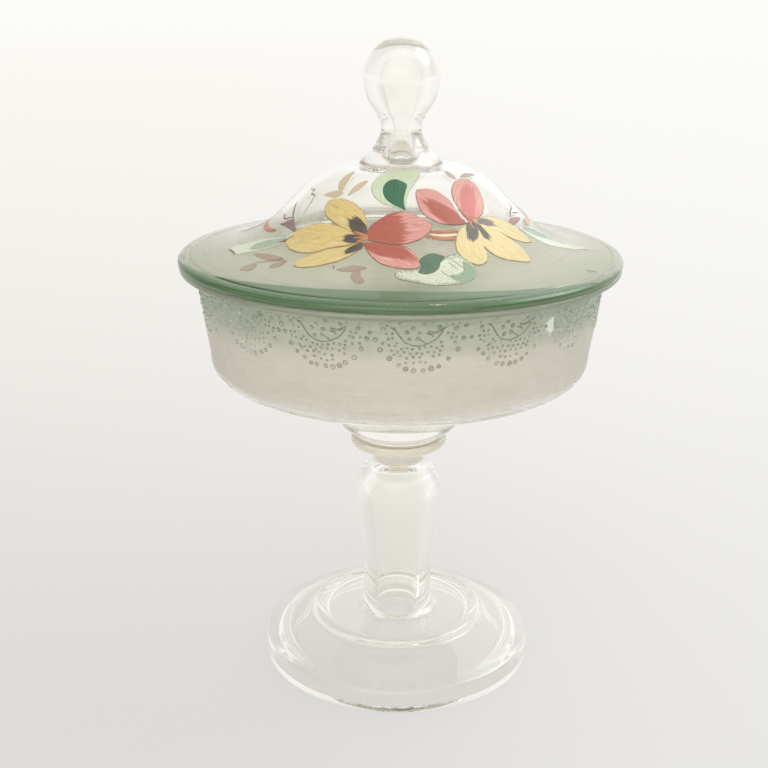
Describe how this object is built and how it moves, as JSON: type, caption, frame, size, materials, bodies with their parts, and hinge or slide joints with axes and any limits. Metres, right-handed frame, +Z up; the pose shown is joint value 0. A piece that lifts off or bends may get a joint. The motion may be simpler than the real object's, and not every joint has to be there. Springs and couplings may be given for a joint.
{
  "type": "covered candy dish",
  "caption": "Round glass bowl on a hollow baluster stem and stepped foot, with a domed knobbed lid that lifts off; enamelled flower sprays and dotted lace.",
  "frame": {"origin": "centre of the foot, on the plane that it stands on", "axes": "+Z up along the axis of revolution; +X to the right and +Y away, seen from the side that the pictured flower spray faces"},
  "size_m": [0.178, 0.178, 0.262],
  "materials": {
    "clear_glass": "clear polished blown glass",
    "warm_glass": "clear glass with a faint warm tint where it is thick",
    "bowl_stained_glass": "clear glass under a satin wash that fades from green at the lip through beige to clear at the floor",
    "lid_stained_glass": "clear glass under a satin green and beige wash on the flange, fading to clear on the dome",
    "painted_enamel": "fired opaque enamel in low relief: yellow, pink, red, green and beige strokes with fine brown outlines"
  },
  "bodies": {
    "stand": {"foot": "clear_glass", "stem": "clear_glass", "neck_button": "warm_glass", "wafer": "warm_glass", "bowl": "bowl_stained_glass"},
    "cover": {"lid": "lid_stained_glass", "lid_knob": "clear_glass"}
  },
  "joints": [
    {"name": "lid_lift", "type": "slide", "parent": "stand", "child": "cover", "axis": [0, 0, 1], "range_m": [0, 0.12]}
  ]
}
